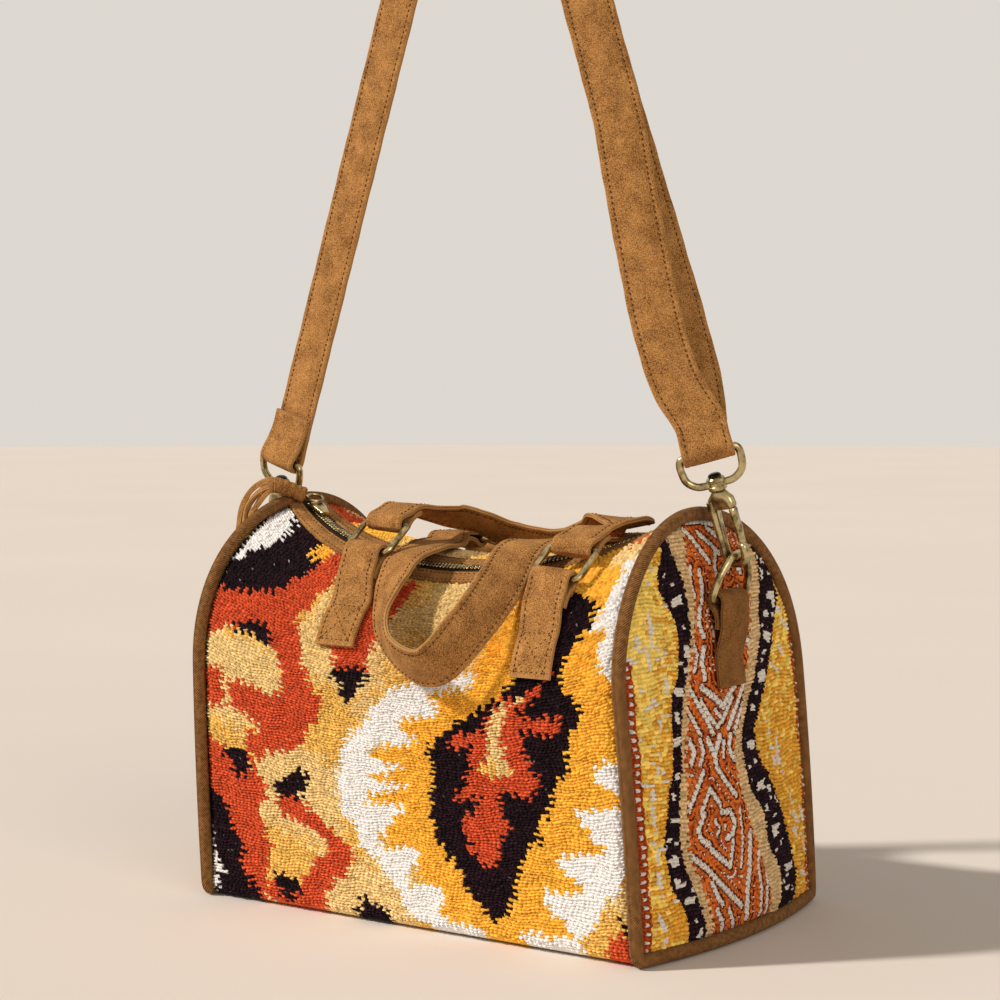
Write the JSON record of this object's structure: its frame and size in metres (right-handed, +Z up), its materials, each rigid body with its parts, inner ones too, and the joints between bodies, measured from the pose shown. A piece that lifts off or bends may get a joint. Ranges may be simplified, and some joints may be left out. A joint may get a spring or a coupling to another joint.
{
  "type": "boston bag",
  "caption": "Soft boston bag of thick patterned weave with suede trim, a sagging top zip, short hand straps on metal rings and a long clip-on shoulder strap.",
  "frame": {"origin": "middle of the base, on the surface that the bag stands on", "axes": "+X along the bag towards the striped end that the picture shows, -Y out of the front, +Z up"},
  "size_m": [0.3623, 0.2536, 0.7865],
  "materials": {
    "kilim_weave": "thick weft-faced cotton weave in fields of colour",
    "stripe_weave": "ribbed weave in upright stripes",
    "suede": "cognac suede with raw cut edges",
    "antique_brass": "dull antique brass",
    "zip_tape": "dark woven zip tape",
    "lining": "plain cotton lining",
    "stiffener": "covered board"
  },
  "bodies": {
    "bag": {"body_panel": "kilim_weave", "left_end_panel": "stripe_weave", "right_end_panel": "stripe_weave", "left_piping": "suede", "right_piping": "suede", "front_zip_facing": "suede", "back_zip_facing": "suede", "front_left_tab": "suede", "front_right_tab": "suede", "back_left_tab": "suede", "back_right_tab": "suede", "back_hand_strap": "suede", "left_end_tab": "suede", "right_end_tab": "suede", "shoulder_strap": "suede", "strap_return": "suede", "back_left_ring": "antique_brass", "back_right_ring": "antique_brass", "left_strap_loop": "antique_brass", "right_strap_loop": "antique_brass", "front_zip_tape": "zip_tape", "back_zip_tape": "zip_tape", "lining": "lining", "base_board": "stiffener"},
    "zip_slider": {"zip_slider": "antique_brass", "zip_pull_ring": "antique_brass", "zip_tassel": "suede"},
    "front_handle": {"front_left_ring": "antique_brass", "front_right_ring": "antique_brass", "front_hand_strap": "suede"},
    "left_hook": {"left_hook": "antique_brass"},
    "left_hook_gate": {"left_hook_gate": "antique_brass"},
    "right_hook": {"right_hook": "antique_brass"},
    "right_hook_gate": {"right_hook_gate": "antique_brass"},
    "left_d_ring": {"left_d_ring": "antique_brass"},
    "right_d_ring": {"right_d_ring": "antique_brass"},
    "strap_adjuster": {"strap_adjuster": "antique_brass"}
  },
  "joints": [
    {"name": "zip_slide", "type": "hinge", "parent": "bag", "child": "zip_slider", "pos_m": [0, 0.11027, 0.38772], "axis": [0, -0.7265, 0.6872], "range_deg": [0, 62], "deforming": ["zip_tassel"]},
    {"name": "front_handle_swing", "type": "hinge", "parent": "bag", "child": "front_handle", "pos_m": [-0.0485, -0.081, 0.22335], "axis": [0.9952, -0.079, -0.058], "range_deg": [0, 52]},
    {"name": "left_hook_swivel", "type": "hinge", "parent": "bag", "child": "left_hook", "pos_m": [-0.17295, -0.01566, 0.21722], "axis": [0.2501, -0.2781, 0.9274], "range_deg": [-20, 20]},
    {"name": "left_gate_press", "type": "hinge", "parent": "left_hook", "child": "left_hook_gate", "pos_m": [-0.17226, -0.02454, 0.24478], "axis": [0.086, -0.9475, -0.3079], "range_deg": [0, 15], "stiffness_Nm_per_rad": 0.05},
    {"name": "right_hook_swivel", "type": "hinge", "parent": "bag", "child": "right_hook", "pos_m": [0.17153, -0.01523, 0.22635], "axis": [-0.152, -0.266, 0.9519], "range_deg": [-20, 20]},
    {"name": "right_gate_press", "type": "hinge", "parent": "right_hook", "child": "right_hook_gate", "pos_m": [0.17374, -0.02352, 0.25401], "axis": [0.079, 0.9568, 0.2799], "range_deg": [0, 15], "stiffness_Nm_per_rad": 0.05},
    {"name": "left_d_ring_rock", "type": "hinge", "parent": "bag", "child": "left_d_ring", "pos_m": [-0.16561, -0.011, 0.191], "axis": [0, 1, 0], "range_deg": [-1, 2]},
    {"name": "right_d_ring_rock", "type": "hinge", "parent": "bag", "child": "right_d_ring", "pos_m": [0.16415, -0.011, 0.2], "axis": [0, 1, 0], "range_deg": [-2, 1]},
    {"name": "strap_adjust", "type": "slide", "parent": "bag", "child": "strap_adjuster", "axis": [-0.3119, 0.023, 0.9498], "range_m": [-0.12, 0], "deforming": ["strap_return"]}
  ]
}
